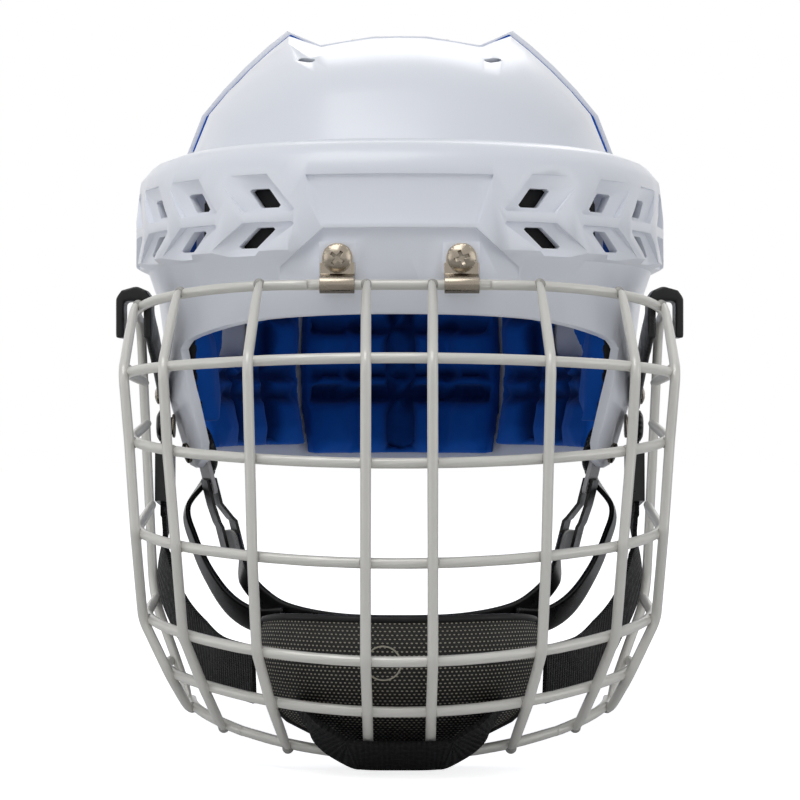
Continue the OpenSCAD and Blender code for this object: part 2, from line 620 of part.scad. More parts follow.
// Hook over the cage's side bar, with an arm down to its screw on the ear strip
module side_clip(side) {
    color(black) side_cover(side) difference() {
        union() {
            translate([hook_x, hook_y, hook_z]) rotate([90, 0, 0]) linear_extrude(hook_w, center = true)
                polygon([
                [-hook_gap - 3, -9], [-hook_gap - 3, 5.5], [-hook_gap - 1, 8.5], [-1, 10], [hook_gap + 1,
                    8.5],
                [hook_gap + 3, 5.5], [hook_gap + 3, -9], [hook_gap, -9], [hook_gap, hook_gap + 0.9],
                [-hook_gap, hook_gap + 0.9], [-hook_gap, -9]]);
            hull() {
                translate([hook_x - hook_gap - 3, hook_y - hook_w / 2, hook_z - 9])
                    cube([2.4, hook_w, 10]);
                translate([arm_bend[0], arm_bend[1] - 4, arm_bend[2] - 6]) cube([2.4, 8, 12]);
            }
            hull() {
                translate([arm_bend[0], arm_bend[1] - 4, arm_bend[2] - 6]) cube([2.4, 8, 12]);
                translate([arm_end[0], arm_end[1], arm_end[2]]) rotate([0, 90, 0]) cylinder(h = 2.4,
                    r = 6);
            }
        }
        translate(arm_end - [5, 0, 0]) rotate([0, 90, 0]) cylinder(h = 12, r = 1.7);
        translate(arm_end + [2.4, 0, 0]) rotate([0, 90, 0]) cylinder(h = 6, r = 4.3);
    }
}
arm_bend = [band_half_w - 14.3, -62, 17];
arm_end = [band_half_w - 13.9, -34, 2];
module side_clip_left() { side_clip(-1); }
module side_clip_right() { side_clip(1); }
module side_clip_screws() {
    color(steel) for (side = [-1, 1]) side_cover(side) translate(arm_end + [2.4, 0, 0])
        rotate([0, 90, 0]) pan_screw(3, 5.4);
}

// The cup's outline in side view, front face: distance to the front and height
cup_top_z = cup_h - 118;
cup_spread = cup_w / 98;
cup_face = [[162, 0], [166.5, -8], [166, -16], [160.5, -26], [151, -35], [141, -42]];
cup_depth = 40;
cup_span = 74;
// Share of the span that each row of the face reaches
cup_reach = [0.9, 1, 0.97, 0.86, 0.66, 0.36];
function cup_point(u, k, grow) =
    let (t = u * cup_span * cup_reach[k], edge = 1 - 0.1 * pow(abs(u), 5),
        z = cup_face[k][1] * cup_h / 42,
         a = cup_w / 2 / sin(cup_span) + grow, b = cup_depth + grow)
    [a * sin(t), -cup_face[k][0] - grow + b * (1 - cos(t)),
        cup_top_z - cup_h / 2 + (z + cup_h / 2) * edge];
module cup_sheet(outer, inner, reach) {
    closed_sheet([for (k = [0:5]) for (i = [8:-1:-8]) cup_point(i / 8 * reach, k, outer)],
                 [for (k = [0:5]) for (i = [8:-1:-8]) cup_point(i / 8 * reach, k, inner)], 17, 6);
}
module chin_cup() { color(black) cup_sheet(0, -cup_wall, 1); }
module chin_cup_liner() { color("#2a2a2e") cup_sheet(-cup_wall - 0.7, -cup_wall - 6, 0.9); }
sling_w = 16;
// Webbing sling: from the cup's face down in front of the lowest bar, and up to the cup again
sling_half = [[[34.6 * cup_spread, -150.4, -101.6], [0.3, -0.58, 0.76]],
    [[27.5 * cup_spread, -152.8, -110.5], [0.25, -0.66, 0.7]],
    [[19 * cup_spread, -151.6, -117.6], [0.15, -0.74, 0.66]],
    [[13 * cup_spread, -153.3, -119], [0.03, -0.76, 0.65]]];
module cup_loop() {
    whole = concat(sling_half, [[[0, -153.6, -119.2], [0, -0.76, 0.65]]],
        [for (i = [len(sling_half) - 1:-1:0]) [flip(sling_half[i][0]), flip(sling_half[i][1])]]);
    color(black) ribbon(whole, sling_w, web_t);
}

// A ribbon of webbing through its stations: [point, direction across the web]
module ribbon(stations, width, thick) {
    corners = [for (i = [0:len(stations) - 1])
        let (p = stations[i][0], w = unit(stations[i][1]), a = stations[max(0, i - 1)][0],
            b = stations[min(len(stations) - 1, i + 1)][0],
             n = unit(cross(w, unit(b - a))))
        each [p + w * width / 2 + n * thick / 2, p - w * width / 2 + n * thick / 2,
              p - w * width / 2 - n * thick / 2, p + w * width / 2 - n * thick / 2]];
    m = len(stations);
    faces = concat([[0, 1, 2], [0, 2, 3]], [for (i = [0:m - 2]) for (k = [0:3])
        let (a = 4 * i + k, b = 4 * i + (k + 1) % 4) each [[a, a + 4, b], [b, a + 4, b + 4]]],
        [[4 * m - 4, 4 * m - 2, 4 * m - 3], [4 * m - 4, 4 * m - 1, 4 * m - 2]]);
    polyhedron(corners, [for (f = faces) [f[0], f[2], f[1]]], convexity = 3);
}

// The straps hang from the shell's sides, outside the ear strips
wide = band_half_w / 104.5;
strap_top = [band_half_w - 14.2, -41, -10];
strap_mid = [band_half_w - 14.6, -46, -46];
strap_across = unit([0, 0.98, -0.14]);
cage_strap_route = [
    [strap_top + (strap_top - strap_mid) * 0.16, strap_across], [strap_mid, strap_across],
        [strap_mid + [-0.5, -8, -19], [0.3, 0.82, -0.48]],
    [[cage_half_w - 15, -77, -80], [0.22, 0.72, -0.62]], [[cage_half_w - 24.4, -97, -89],
        [0.22, 0.46, -0.84]],
    [[cup_w / 2 + 13, -117, -93], [0.05, 0.25, -0.95]], [[cup_w / 2 + 0.8, -136.8, -94], [0, 0.1, -1]]];
module cage_strap(side) { color(black) side_cover(side) ribbon(cage_strap_route, web_w, web_t); }
module cage_strap_left() { cage_strap(-1); }
module cage_strap_right() { cage_strap(1); }
strap_run = unit(strap_mid - strap_top);
strap_out = cross(strap_run, strap_across);
module strap_slider(side) {
    color(black) side_cover(side) framed(strap_across, strap_run, lerp(strap_top, strap_mid, 0.28))
        difference() {
        translate([-web_w / 2 - 3, -2.6, 0]) cube([web_w + 6, 5.2, 20]);
        translate([-web_w / 2 - 0.3, -web_t / 2 - 0.3, -1]) cube([web_w + 0.6, web_t + 0.6, 24]);
        translate([-web_w / 2 + 2.5, -5, 3]) cube([web_w - 5, 10, 5]);
        translate([-web_w / 2 + 2.5, -5, 12]) cube([web_w - 5, 10, 5]);
    }
}
module strap_slider_left() { strap_slider(-1); }
module strap_slider_right() { strap_slider(1); }
// Caps on the straps' upper ends, over the studs that stand on the shell
module strap_snaps() {
    color(black) for (side = [-1, 1]) side_cover(side) framed(strap_run, strap_out, strap_top) {
        translate([0, 0, web_t / 2 + 0.05]) cylinder(h = 1.4, r = 6);
        translate([0, 0, web_t / 2 + 1.45]) cylinder(h = 0.9, r1 = 6, r2 = 4.4);
    }
}

// Foot of the ear strip: X back along the strip, Y down along it, Z inwards from its outer face
ear_in = unit([-0.8986, 0.359, 0.252]);
ear_back = unit([0.371, 0.9286, 0]);
ear_at = [band_half_w - 24.3, -43, -22];
module at_ear(side) { side_cover(side) framed(ear_back, ear_in, ear_at) children(); }
ear_rivet_y = -2;
ear_skin = 3.9;
// Where a point of the ear strip's own frame lies in the helmet
function from_ear(p) = ear_at + ear_back * p[0] + cross(ear_in, ear_back) * p[1] + ear_in * p[2];
module ear_tab(side) {
    color("#c9c6c0") at_ear(side) translate([0, 0, ear_skin]) difference() {
        union() {
            translate([0, ear_rivet_y, 0]) cylinder(h = 1.4, r = 7.5);
            linear_extrude(1.4) polygon([[-6, ear_rivet_y], [-6.4, 14], [-5, 15.5], [5, 15.5], [6.4, 14],
                [6, ear_rivet_y]]);
        }
        translate([0, ear_rivet_y, -1]) cylinder(h = 4, r = 2.15);
        translate([-5, 9.4, -1]) cube([10, 3.2, 4]);
    }
}
module ear_tab_left() { ear_tab(-1); }
module ear_tab_right() { ear_tab(1); }
module ear_ring(side) {
    color(black) at_ear(side) translate([0, ear_rivet_y, ear_skin + 1.5]) rotate_extrude()
        polygon([[2.15, 0], [8.6, 0], [9.6, 0.6], [9.6, 1.8], [8.6, 2.6], [7.2, 2.6], [6.4, 1.6], [2.15,
            1.6]]);
}
module ear_ring_left() { ear_ring(-1); }
module ear_ring_right() { ear_ring(1); }
// Rivets through the strip, the tab and the ring
module ear_rivets() {
    color(steel) for (side = [-1, 1]) at_ear(side) translate([0, ear_rivet_y, 0]) {
        translate([0, 0, -1.8]) cylinder(h = 1.2, r = 4);
        translate([0, 0, -1]) cylinder(h = ear_skin + 5, r = 2);
        translate([0, 0, ear_skin + 3.15]) cylinder(h = 1.2, r = 4);
    }
}
// Strap loop through the tab's slot, wider at its foot for the chin strap
module ear_loop(side) {
    color(black) at_ear(side) translate([0, 10, ear_skin]) rotate([90, 0, 90]) linear_extrude(8,
        center = true) difference() {
        polygon([[-0.1, -1.4], [10, -1.4], [17, -0.8], [19, -0.2], [30, -0.2], [32.2, 1.4], [32.2, 5.2],
            [30, 6.8], [18, 6.8],
            [16, 5.6], [10, 2.8], [-0.1, 2.8]]);
        polygon([[1.1, -0.2], [10, -0.2], [17, 0.4], [19, 1], [30, 1], [31, 1.8], [31, 4.8], [30, 5.6],
            [18, 5.6],
            [17, 4.8], [10, 1.7], [1.1, 1.7]]);
    }
}
module ear_loop_left() { ear_loop(-1); }
module ear_loop_right() { ear_loop(1); }
ear_down = cross(ear_in, ear_back);
// The chin strap rests in the feet of the two loops
chin_seat = ear_skin + 4.5;
chin_half = [[from_ear([12, 36.2, chin_seat]), ear_down], [from_ear([-6, 36.2, chin_seat]), ear_down],
    [[58 * wide, -69, -65], [0.35, 0.45, -0.7]], [[50 * wide, -81, -73], [0.35, 0.5, -0.75]],
    [[40 * wide, -93, -77.5], [0.3, 0.35, -0.88]], [[22 * wide, -103, -80], [0.12, 0.25, -0.95]]];
module chin_strap() {
    whole = concat(chin_half, [[[0, -106, -80.5], [0, 0.2, -1]]],
        [for (i = [len(chin_half) - 1:-1:0]) [flip(chin_half[i][0]), [-chin_half[i][1][0],
            chin_half[i][1][1], chin_half[i][1][2]]]]);
    color(black) ribbon(whole, 8, 1.6);
}
// Second strap on each side, from behind the ear strip down to the chin strap
module jaw_strap(side) {
    color(black) side_cover(side) ribbon([
        [from_ear([13, -3, 9.6]), ear_back], [from_ear([12.5, 9, 9.2]), ear_back],
        [[band_half_w - 22, -34, -42], [0.2, 0.93, -0.3]],
        [[band_half_w - 25.5, -44, -54], [0.2, 0.85, -0.45]],
        [[72 * wide, -58, -66], [0.2, 0.75, -0.6]], [[63 * wide, -71, -76], [0.3, 0.6, -0.6]],
        [[52.5 * wide, -84, -80.5], [0.35, 0.5, -0.7]],
        [[41.6 * wide, -94.2, -79.4], [0.3, 0.35, -0.88]]], 9, 2);
}
module jaw_strap_left() { jaw_strap(-1); }
module jaw_strap_right() { jaw_strap(1); }
// Studs for the straps' snaps
module snap_studs() {
    color(steel) for (side = [-1, 1]) side_cover(side) framed(strap_run, strap_out, strap_top) {
        translate([0, 0, -web_t / 2 - 2.2]) cylinder(h = 2, r = 3.4);
        translate([0, 0, -web_t / 2 - 2.8]) cylinder(h = 0.8, r = 4.6);
    }
}

// One line for each piece of the helmet
front_shell();
rear_shell();
forehead_pad();
crown_pad();
temple_pad_left();
temple_pad_right();
rear_pad_centre();
rear_pad_left();
rear_pad_right();
top_clip_left();
top_clip_right();
top_clip_screws();
top_clip_nuts();
size_screws();
size_nuts();
side_clip_left();
side_clip_right();
side_clip_screws();
cage_frame();
cage_crossbars();
cage_verticals();
chin_cup();
chin_cup_liner();
cup_loop();
cage_strap_left();
cage_strap_right();
strap_slider_left();
strap_slider_right();
ear_ring_left();
ear_ring_right();
ear_tab_left();
ear_tab_right();
ear_loop_left();
ear_loop_right();
chin_strap();
jaw_strap_left();
jaw_strap_right();
ear_rivets();
snap_studs();
strap_snaps();
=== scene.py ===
# %% [markdown]
# # An ice hockey helmet, dressed over its engineering model
# The frame holds every rigid piece of the helmet in metres, with +Z up and the
# face looking along -Y. This lesson puts the finish on it: moulded shells, coated
# wire, foam, webbing, plated screws. A piece whose solid is right keeps its place
# and gets a smoother skin, and soft pieces are modelled again in its space.

# %% Load the frame
import bpy, bmesh, math, json
from mathutils import Vector, Matrix


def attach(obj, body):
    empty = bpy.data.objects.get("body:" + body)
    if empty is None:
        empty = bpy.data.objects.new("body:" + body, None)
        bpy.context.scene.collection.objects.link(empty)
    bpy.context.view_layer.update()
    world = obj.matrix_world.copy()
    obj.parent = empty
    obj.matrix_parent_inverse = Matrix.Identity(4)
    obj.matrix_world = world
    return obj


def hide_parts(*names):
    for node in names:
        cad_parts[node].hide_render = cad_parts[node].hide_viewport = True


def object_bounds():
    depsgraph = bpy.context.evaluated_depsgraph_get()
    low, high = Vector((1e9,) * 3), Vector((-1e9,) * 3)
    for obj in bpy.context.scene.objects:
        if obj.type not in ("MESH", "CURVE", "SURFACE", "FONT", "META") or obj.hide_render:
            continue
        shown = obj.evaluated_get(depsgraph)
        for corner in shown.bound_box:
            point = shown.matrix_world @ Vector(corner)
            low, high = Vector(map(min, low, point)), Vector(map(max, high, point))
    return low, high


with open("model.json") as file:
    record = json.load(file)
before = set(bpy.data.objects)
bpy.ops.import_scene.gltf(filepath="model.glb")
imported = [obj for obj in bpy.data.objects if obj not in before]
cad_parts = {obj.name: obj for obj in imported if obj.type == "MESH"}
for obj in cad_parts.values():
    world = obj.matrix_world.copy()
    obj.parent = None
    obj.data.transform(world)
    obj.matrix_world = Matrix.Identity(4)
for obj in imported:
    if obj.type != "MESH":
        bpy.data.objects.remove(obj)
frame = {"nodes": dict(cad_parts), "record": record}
cad_low, cad_high = [list(c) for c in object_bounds()]
bpy.ops.object.select_all(action="DESELECT")
MM = 0.001
bpy.context.scene.view_settings.view_transform = "Standard"
print("nodes:", len(frame["nodes"]), "box:", cad_low, cad_high)

# %% [markdown]
# ## The photographer's camera
# The wires run nearly square in the picture, so the camera stood about 0.9 m in
# front of the helmet, level with the ears and almost straight ahead, with a lens of
# about 100 mm.

# %% Camera
distance, azimuth = 0.9, math.radians(0.08)
bpy.ops.object.camera_add(
    location=(distance * math.sin(azimuth), -distance * math.cos(azimuth), 0.0),
    rotation=(math.pi / 2, 0, azimuth))
camera = bpy.context.object
camera.data.lens = 100.3
camera.data.sensor_width = 36
camera.data.clip_start, camera.data.clip_end = 0.05, 20
bpy.context.scene.camera = camera
print("camera:", distance, "m away, lens", round(camera.data.lens, 1), "mm")

# %% [markdown]
# ## Floor, backdrop and soft light
# A catalogue shot has a white sweep and large soft lamps. The floor adds a little
# light of its own for the camera only, so that it reads as white while the
# helmet's shadow stays on it.

# %% Colour and node helpers
def colour(text):
    """An sRGB hex value as linear RGBA."""
    parts = [int(text[i:i + 2], 16) / 255 for i in (1, 3, 5)]
    return [c / 12.92 if c <= 0.04045 else ((c + 0.055) / 1.055) ** 2.4 for c in parts] + [1.0]


def scaled(text, factor):
    """A hex colour made lighter or darker by a factor."""
    return [min(1.0, c * factor) for c in colour(text)[:3]] + [1.0]


def node(material, kind, settings=None, **sockets):
    """Adds a node. A socket is named, or i and its number; its value may be another node's output."""
    made = material.node_tree.nodes.new("ShaderNode" + kind)
    for name, value in (settings or {}).items():
        setattr(made, name, value)
    for name, value in sockets.items():
        numbered = name[0] == "i" and name[1:].isdigit()
        target = made.inputs[int(name[1:]) if numbered else name.replace("_", " ")]
        if isinstance(value, bpy.types.NodeSocket):
            material.node_tree.links.new(value, target)
        else:
            target.default_value = value
    return made


def math_node(material, operation, *values):
    """The output of one sum; its values are numbers or other nodes' outputs."""
    sockets = {"i" + str(k): value for k, value in enumerate(values)}
    return node(material, "Math", {"operation": operation}, **sockets).outputs[0]


def remapped(material, value, from_low, from_high, to_low, to_high, easing="LINEAR"):
    """The output of a node that maps one range of values on another."""
    return node(material, "MapRange", {"interpolation_type": easing}, Value=value,
                i1=from_low, i2=from_high, i3=to_low, i4=to_high).outputs[0]


def blended(material, share, first, second):
    """The output of a node that mixes two colours."""
    return node(material, "Mix", {"data_type": "RGBA"}, i0=share, i6=first, i7=second).outputs[2]


def new_material(name):
    """An empty material with its output node."""
    material = bpy.data.materials.new(name)
    material.use_nodes = True
    material.node_tree.nodes.clear()
    material.node_tree.nodes.new("ShaderNodeOutputMaterial")
    return material


def finish_with(material, shader):
    """Links a shader to the material's output."""
    out = next(n for n in material.node_tree.nodes if n.bl_idname == "ShaderNodeOutputMaterial")
    material.node_tree.links.new(shader.outputs[0], out.inputs["Surface"])
    return material

# %% Floor
gap_under_helmet = 1.5 * MM
bpy.ops.mesh.primitive_plane_add(size=6, location=(0, 0, cad_low[2] - gap_under_helmet))
floor = bpy.context.object
floor.name = "studio_floor"
sweep = new_material("matt_white_paper")
path = node(sweep, "LightPath")
paper = node(sweep, "BsdfDiffuse", Color=colour("#f4f4f4"))
glow = node(sweep, "Emission", Color=(1, 1, 1, 1), Strength=0.78)
both = node(sweep, "AddShader", i0=paper.outputs[0], i1=glow.outputs[0])
finish_with(sweep, node(sweep, "MixShader", Fac=path.outputs["Is Camera Ray"],
                        i1=paper.outputs[0], i2=both.outputs[0]))
floor.data.materials.append(sweep)
print("floor at", round(floor.location.z, 4), "m")

# %% World and lamps
world = bpy.data.worlds.new("white_studio")
bpy.context.scene.world = world
world.use_nodes = True
world.node_tree.nodes.clear()
world_out = world.node_tree.nodes.new("ShaderNodeOutputWorld")
seen = node(world, "Background", Color=(1, 1, 1, 1), Strength=1.0)
lit = node(world, "Background", Color=colour("#e9edf5"), Strength=0.3)
rays = node(world, "LightPath")
shown = math_node(world, "MAXIMUM", rays.outputs["Is Camera Ray"], rays.outputs["Is Glossy Ray"])
either = node(world, "MixShader", Fac=shown, i1=lit.outputs[0], i2=seen.outputs[0])
world.node_tree.links.new(either.outputs[0], world_out.inputs["Surface"])


def lamp(name, place, size, power, target=(0, -0.02, 0.02)):
    """A square soft lamp that looks at the helmet."""
    turn = (Vector(target) - Vector(place)).to_track_quat("-Z", "Y").to_euler()
    bpy.ops.object.light_add(type="AREA", location=place, rotation=turn)
    made = bpy.context.object
    made.name = name
    made.data.size = size
    made.data.energy = power
    print(name, power, "W")


lamp("key_above", (-0.3, -0.7, 1.3), 0.9, 8.5)
lamp("fill_right", (1.3, -0.7, 0.35), 0.9, 3)
lamp("fill_left", (-1.3, -0.6, 0.25), 0.9, 2.4)
lamp("back_top", (0.1, 1.1, 1.1), 0.8, 4)

# %% [markdown]
# ## Finishes
# Every finish starts from what the real surface is and how it was made. Patterns
# read Object coordinates in metres, so their scale comes from a real size.

# %% A shared surface recipe
def surface(name, base, rough, metal=0.0, ior=1.5, mottle=0.0, mottle_mm=20.0, rough_mottle=0.0,
            grain_mm=0.0, grain_depth_mm=0.0, coat=0.0, coat_rough=0.1, sheen=0.0, worn=None,
            channel_shade=None, specular=0.5):
    """A finish with a soft colour mottle and a fine grain. A painted shade colour darkens it where the mesh
    says it is pressed in, and a worn colour lightens its exposed edges."""
    made = new_material(name)
    where = node(made, "TexCoord").outputs["Object"]
    broad = node(made, "TexNoise", Vector=where, Scale=1000 / mottle_mm, Detail=3.0, Roughness=0.5)
    tint = blended(made, broad.outputs["Fac"], scaled(base, 1 - mottle), scaled(base, 1 + mottle * 0.6))
    shader = node(made, "BsdfPrincipled", Base_Color=tint, Metallic=metal, IOR=ior,
                  Specular_IOR_Level=specular, Coat_Weight=coat, Coat_Roughness=coat_rough,
                  Sheen_Weight=sheen)
    spot_mm = mottle_mm * 0.37
    spots = node(made, "TexNoise", Vector=where, Scale=1000 / spot_mm, Detail=4.0)
    spread = remapped(made, spots.outputs["Fac"], 0.3, 0.7, rough - rough_mottle, rough + rough_mottle)
    made.node_tree.links.new(spread, shader.inputs["Roughness"])
    if grain_mm:
        fine = node(made, "TexNoise", Vector=where, Scale=1000 / grain_mm, Detail=2.0)
        bump = node(made, "Bump", Strength=1.0, Distance=grain_depth_mm * MM, Height=fine.outputs["Fac"])
        made.node_tree.links.new(bump.outputs[0], shader.inputs["Normal"])
    # painted shade: a deeper colour where the pressed-in attribute marks the channels
    if channel_shade:
        shade_in_channels = node(made, "Attribute", {"attribute_name": "channel_shade"})
        channel_shaded = blended(made, shade_in_channels.outputs["Fac"], tint, colour(channel_shade))
        made.node_tree.links.new(channel_shaded, shader.inputs["Base Color"])
    if worn:
        edge = node(made, "NewGeometry")
        sharp = remapped(made, edge.outputs["Pointiness"], 0.53, 0.62, 0.0, 0.55)
        made.node_tree.links.new(blended(made, sharp, tint, colour(worn)), shader.inputs["Base Color"])
    print("finish:", name)
    return finish_with(made, shader)

# %% [markdown]
# The shell is injection moulded polyethylene: white with a cool cast, satin to
# gloss, with the faint ripple that a mould leaves. The cage is steel wire with a
# baked grey coat, the clips and screws are nickel plated.

# %% Hard finishes
shell_white = surface("moulded_polyethylene_white", "#eceff6", 0.32, ior=1.52, mottle=0.01, mottle_mm=60,
                      rough_mottle=0.02, grain_mm=2.2, grain_depth_mm=0.004, coat=0.15, coat_rough=0.2)
coated_wire = surface("baked_enamel_steel_wire", "#d6d4cd", 0.32, metal=0.1, mottle=0.03, mottle_mm=9,
                      rough_mottle=0.03, grain_mm=0.9, grain_depth_mm=0.005, coat=0.25, coat_rough=0.2)
weld_enamel = surface("pooled_enamel_on_welds", "#a3a19c", 0.42, metal=0.1, mottle=0.2, mottle_mm=3,
                      rough_mottle=0.08, grain_mm=0.7, grain_depth_mm=0.05)
nickel = surface("nickel_plated_steel", "#968d80", 0.24, metal=1.0, mottle=0.06, mottle_mm=6,
                 rough_mottle=0.07, grain_mm=0.5, grain_depth_mm=0.006)
black_nylon = surface("moulded_nylon_black", "#0a0a0b", 0.34, mottle=0.15, mottle_mm=8,
                      rough_mottle=0.08, grain_mm=0.6, grain_depth_mm=0.02, worn="#242426", specular=0.35)
rim_black = surface("moulded_rubber_black", "#0b0b0b", 0.42, mottle=0.12, mottle_mm=7,
                    rough_mottle=0.07, grain_mm=0.8, grain_depth_mm=0.015, specular=0.25)
strap_gloss = surface("extruded_tpu_black", "#060607", 0.3, mottle=0.1, mottle_mm=15,
                      rough_mottle=0.05, coat=0.05, coat_rough=0.15, specular=0.2)
grey_tab = surface("moulded_acetal_grey", "#c6c3c4", 0.35, mottle=0.04, mottle_mm=7,
                   rough_mottle=0.05, grain_mm=0.8, grain_depth_mm=0.01)

# %% [markdown]
# The liner is closed-cell foam under a brushed knit, so it is matt and soft at the edges of light; its
# channels get a painted shade of deeper blue. Webbing is woven polyester.

# %% Soft finishes
# the second dark blue is painted shade for the foam's channels
foam_blue = surface("brushed_knit_over_foam_blue", "#0f55b4", 0.8, mottle=0.12, mottle_mm=12,
                    rough_mottle=0.08, grain_mm=0.55, grain_depth_mm=0.09, sheen=0.05, specular=0.1,
                    channel_shade="#051d52")
foam_black = surface("brushed_knit_over_foam_black", "#0d0d0f", 0.85, mottle=0.15, mottle_mm=9,
                     grain_mm=0.7, grain_depth_mm=0.1, sheen=0.05, specular=0.1)
backing_black = surface("closed_cell_foam_black", "#0c0c0e", 0.9, mottle=0.1, mottle_mm=6)

# %% [markdown]
# ## Smoother skins for the rigid pieces
# The frame's solids are faceted where the real mouldings flow. Each one is copied,
# its loose triangles are joined, its hard edges get a small round, and the rest is
# shaded smooth. The solid keeps its place; the copy stands for it.

# %% What moves with what
bodies = frame["record"]["behaviour"]["bodies"]
slots = {s["node"]: s["material_slot"] for s in frame["record"]["subparts"]}


def body_of(name):
    """The body that a node moves with."""
    return next(b for b, members in bodies.items() if name in members)


print("bodies:", ", ".join(bodies))

# %% Helpers for one object
def alone(thing):
    """Makes one object the only selected and active one."""
    bpy.ops.object.select_all(action="DESELECT")
    thing.select_set(True)
    bpy.context.view_layer.objects.active = thing


def edited(step):
    """Runs a step in edit mode, on every point of the active object."""
    bpy.ops.object.mode_set(mode="EDIT")
    bpy.ops.mesh.select_all(action="SELECT")
    step()
    bpy.ops.object.mode_set(mode="OBJECT")


def modified(thing, kind, name, **settings):
    """Adds a modifier to an object, sets it and applies it."""
    made = thing.modifiers.new(name, kind)
    for key, value in settings.items():
        setattr(made, key, value)
    bpy.ops.object.modifier_apply(modifier=made.name)


def placed(name, mesh):
    """A new object of a mesh or curve, selected and active."""
    thing = bpy.data.objects.new(name, mesh)
    bpy.context.scene.collection.objects.link(thing)
    alone(thing)
    return thing

# %% Copy a node
def copied(name):
    """A joined copy of a node's loose triangles, free of the frame's marks."""
    source = frame["nodes"][name]
    piece = source.copy()
    piece.data = source.data.copy()
    piece.parent = None
    for key in list(piece.keys()):
        if key.startswith("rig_"):
            del piece[key]
    piece.name = name + "_skin"
    bpy.context.scene.collection.objects.link(piece)
    piece.hide_render = piece.hide_viewport = False
    piece.hide_set(False)
    alone(piece)
    edited(lambda: bpy.ops.mesh.remove_doubles(threshold=0.02 * MM))
    return piece


def without_flat_edges():
    """Dissolves the edges inside the active object's flat faces."""
    edited(lambda: bpy.ops.mesh.dissolve_limited(angle_limit=math.radians(0.6)))

# %% Dress a node
def stands_for(piece, name, material, angle=None):
    """Shades a piece, gives it its finish, and lets it take a node's place and motion."""
    alone(piece)
    if angle:
        bpy.ops.object.shade_smooth_by_angle(angle=math.radians(angle))
    else:
        bpy.ops.object.shade_smooth()
    piece.data.materials.clear()
    piece.data.materials.append(material)
    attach(piece, body_of(name))
    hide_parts(name)
    return piece


def dressed(name, material, angle, round_mm=0.0, segments=2):
    """A smooth copy of a node, with its sharp edges rounded."""
    piece = copied(name)
    if round_mm:
        without_flat_edges()
        modified(piece, "BEVEL", "rounded_edges", width=round_mm * MM, segments=segments,
                 limit_method="ANGLE", angle_limit=math.radians(40), use_clamp_overlap=True)
    return stands_for(piece, name, material, angle)

# %% Shells
for name in ("front_shell", "rear_shell"):
    piece = dressed(name, shell_white, 38, 0.5)
    print(piece.name, len(piece.data.polygons), "faces")

# %% [markdown]
# ## The cage
# Real cage wire is drawn round, bent, spot welded where it crosses, and dipped in
# enamel. The solid's wires have eight flat sides, so two levels of subdivision
# make them round and dome their cut ends. Subdivision pulls a wire in by a
# twentieth of its thickness, so the skin is first pushed out by as much.

# %% Round wires
subdivision_pulls_in = 0.09 * MM
for name in ("cage_frame", "cage_crossbars", "cage_verticals"):
    piece = copied(name)
    edited(lambda: bpy.ops.transform.shrink_fatten(value=subdivision_pulls_in))
    modified(piece, "SUBSURF", "round_wire", levels=2, render_levels=2)
    stands_for(piece, name, coated_wire)
    print(piece.name, len(piece.data.polygons), "faces")

# %% [markdown]
# A resistance weld squeezes a little metal out between the two wires, and the
# enamel pools there and stays darker. One small bead is made, flattened, and
# copied to every place where an upright lies on a bar or on the top wire.

# %% Where the wires cross
from mathutils.bvhtree import BVHTree


def crossings(first, second):
    """Middles of the places where one node's wires touch the other's."""
    step, reach, apart = 0.8 * MM, 0.25 * MM, 7 * MM
    target = frame["nodes"][second].data
    tree = BVHTree.FromPolygons([v.co for v in target.vertices], [p.vertices[:] for p in target.polygons])
    groups = []
    mesh = frame["nodes"][first].data
    for edge in mesh.edges:
        a, b = (mesh.vertices[i].co for i in edge.vertices)
        steps = max(1, int((b - a).length / step))
        for k in range(steps + 1):
            near = tree.find_nearest(a.lerp(b, k / steps), reach)[0]
            if near is None:
                continue
            group = next((g for g in groups if (g[0] - near).length < apart), None)
            if group is None:
                groups.append([near.copy(), 1])
            else:
                group[0] = (group[0] * group[1] + near) / (group[1] + 1)
                group[1] += 1
    return [g[0] for g in groups]


weld_places = crossings("cage_verticals", "cage_crossbars") + crossings("cage_verticals", "cage_frame")
print("crossings:", len(weld_places))

# %% Weld beads
bead_reach, bead_height = 2.0, 1.1
bpy.ops.mesh.primitive_uv_sphere_add(segments=12, ring_count=8, radius=1.0)
bead = bpy.context.object
one_bead = [v.co.copy() for v in bead.data.vertices]
bead_faces = [p.vertices[:] for p in bead.data.polygons]
bpy.data.objects.remove(bead)
points, faces = [], []
for place in weld_places:
    start = len(points)
    points += [place + Vector((v.x * bead_reach, v.y * bead_height, v.z * bead_reach)) * MM for v in one_bead]
    faces += [[start + i for i in f] for f in bead_faces]
weld_mesh = bpy.data.meshes.new("weld_beads")
weld_mesh.from_pydata(points, [], faces)
welds = placed("weld_beads", weld_mesh)
bpy.ops.object.shade_smooth()
welds.data.materials.append(weld_enamel)
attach(welds, "cage")
print("weld beads:", len(weld_mesh.polygons), "faces")

# %% [markdown]
# ## Clips and screws
# Each J clip is a strip of nickel plated steel rolled round the top wire. Its pan
# screw has a cross recess, which is cut out of the head by two crossed bars. Each
# screw stopped at its own turn, so the crosses don't line up.

# %% J clips
for name in ("top_clip_left", "top_clip_right"):
    clip = dressed(name, nickel, 40, 0.22, 3)
    print(clip.name, len(clip.data.polygons), "faces")

# %% Find each screw in a joined node
def islands(mesh):
    """The separate solids of a joined mesh, as lists of vertex places, in the mesh's own order."""
    shape = bmesh.new()
    shape.from_mesh(mesh)
    seen, found = set(), []
    for first in shape.verts:
        if first in seen:
            continue
        seen.add(first)
        stack, group = [first], []
        while stack:
            v = stack.pop()
            group.append(v.co.copy())
            for other in (e.other_vert(v) for e in v.link_edges):
                if other not in seen:
                    seen.add(other)
                    stack.append(other)
        found.append(group)
    shape.free()
    return found


